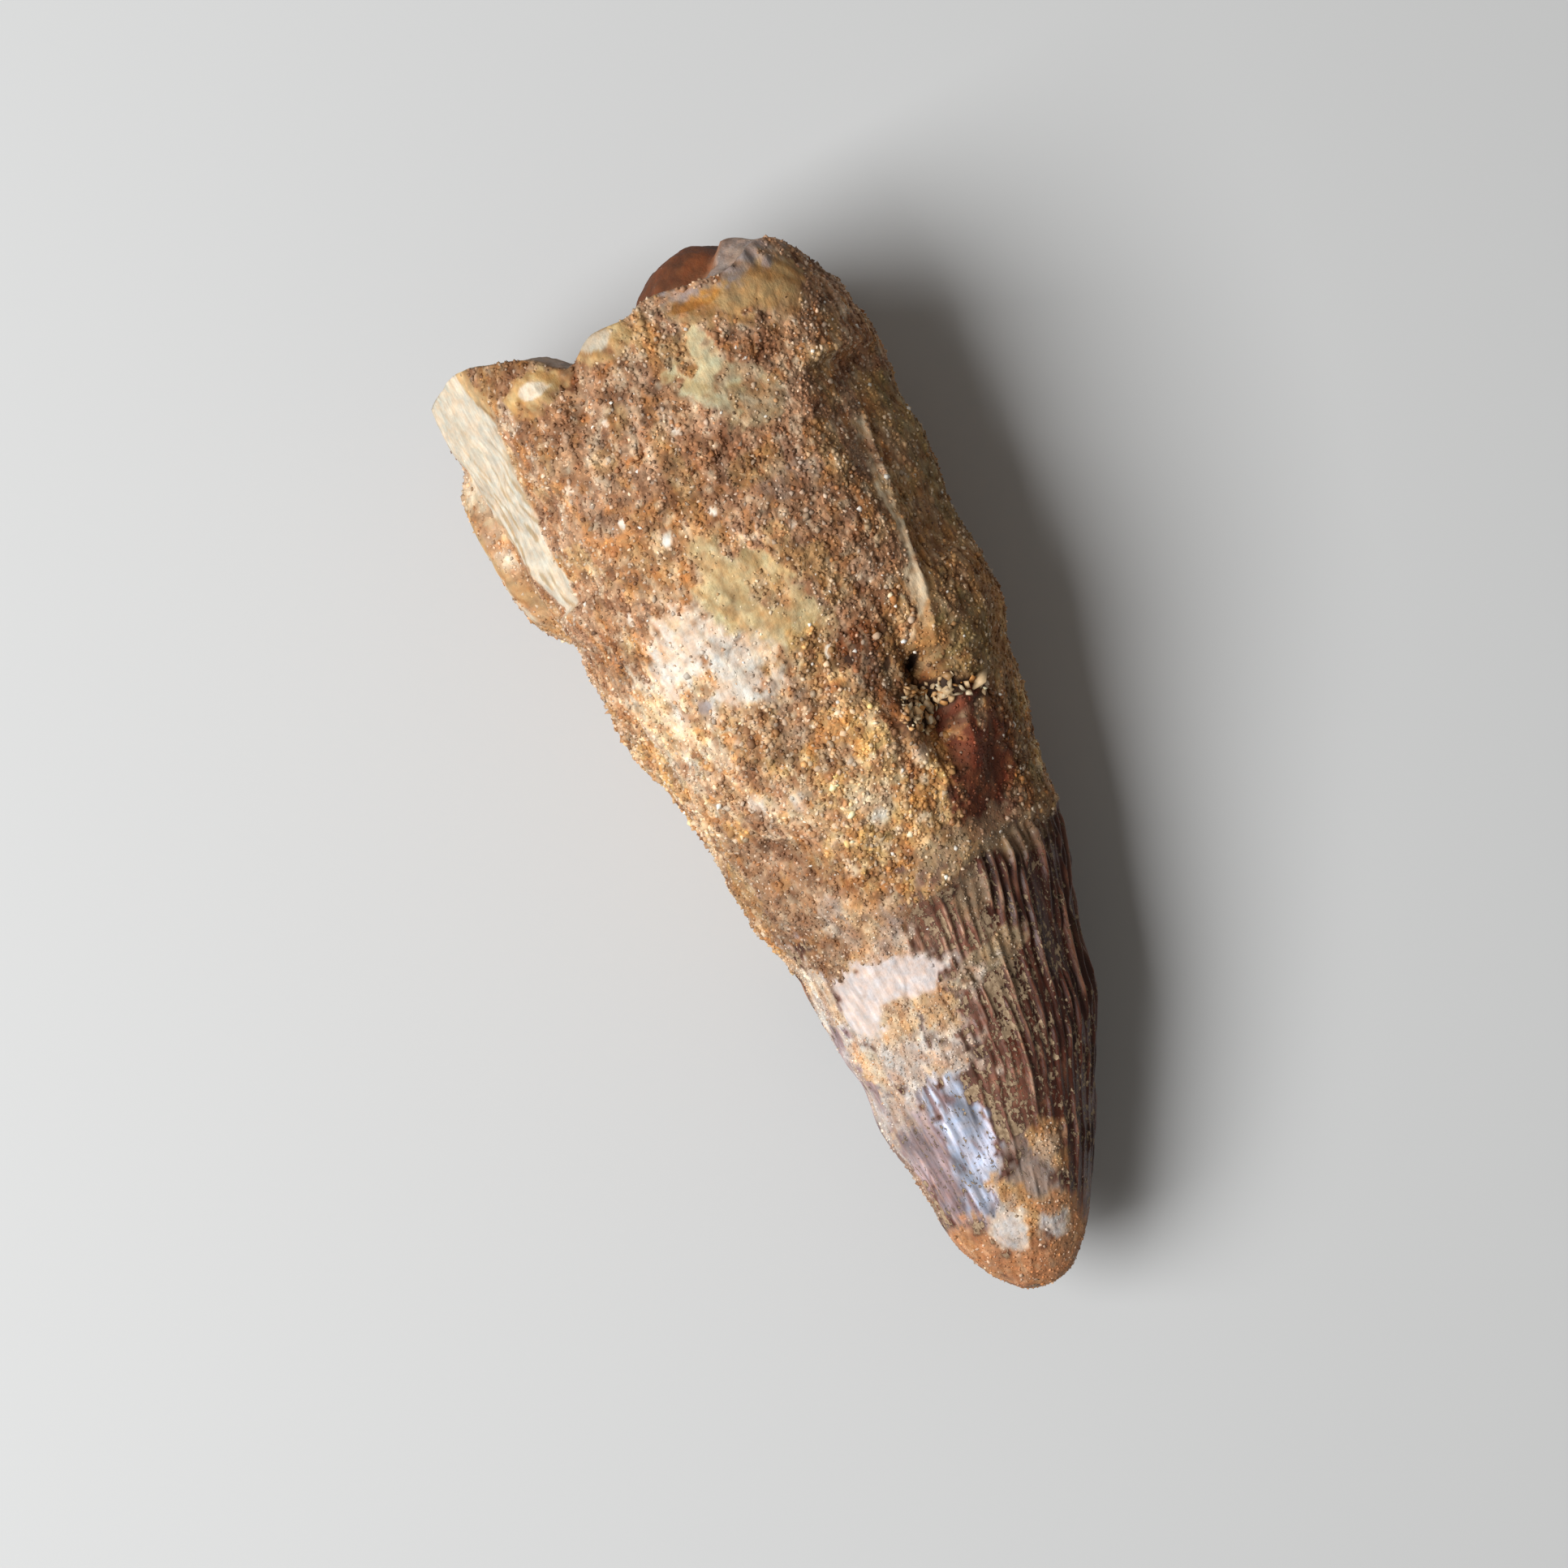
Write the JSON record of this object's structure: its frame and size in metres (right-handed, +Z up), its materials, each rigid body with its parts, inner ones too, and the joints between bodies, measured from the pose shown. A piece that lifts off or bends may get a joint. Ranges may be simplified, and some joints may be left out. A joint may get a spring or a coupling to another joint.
{
  "type": "spinosaurus tooth",
  "caption": "Fossil dinosaur tooth lying on its side, with a broken sand-crusted root, a cemented sandy band and a fluted brown enamel crown that ends in a blunt worn tip",
  "frame": {"origin": "centre of the bounding box in X and Y, at the surface that the tooth rests on", "axes": "+X along the tooth to its tip, +Y across it towards its convex edge, +Z up"},
  "size_m": [0.0762, 0.0312, 0.0254],
  "materials": {
    "fossil": "granular matt fossil bone and sandstone, reddish brown to ochre, with dark brown glossy fluted enamel on the crown"
  },
  "bodies": {
    "root": {"tooth": "fossil"}
  },
  "joints": []
}
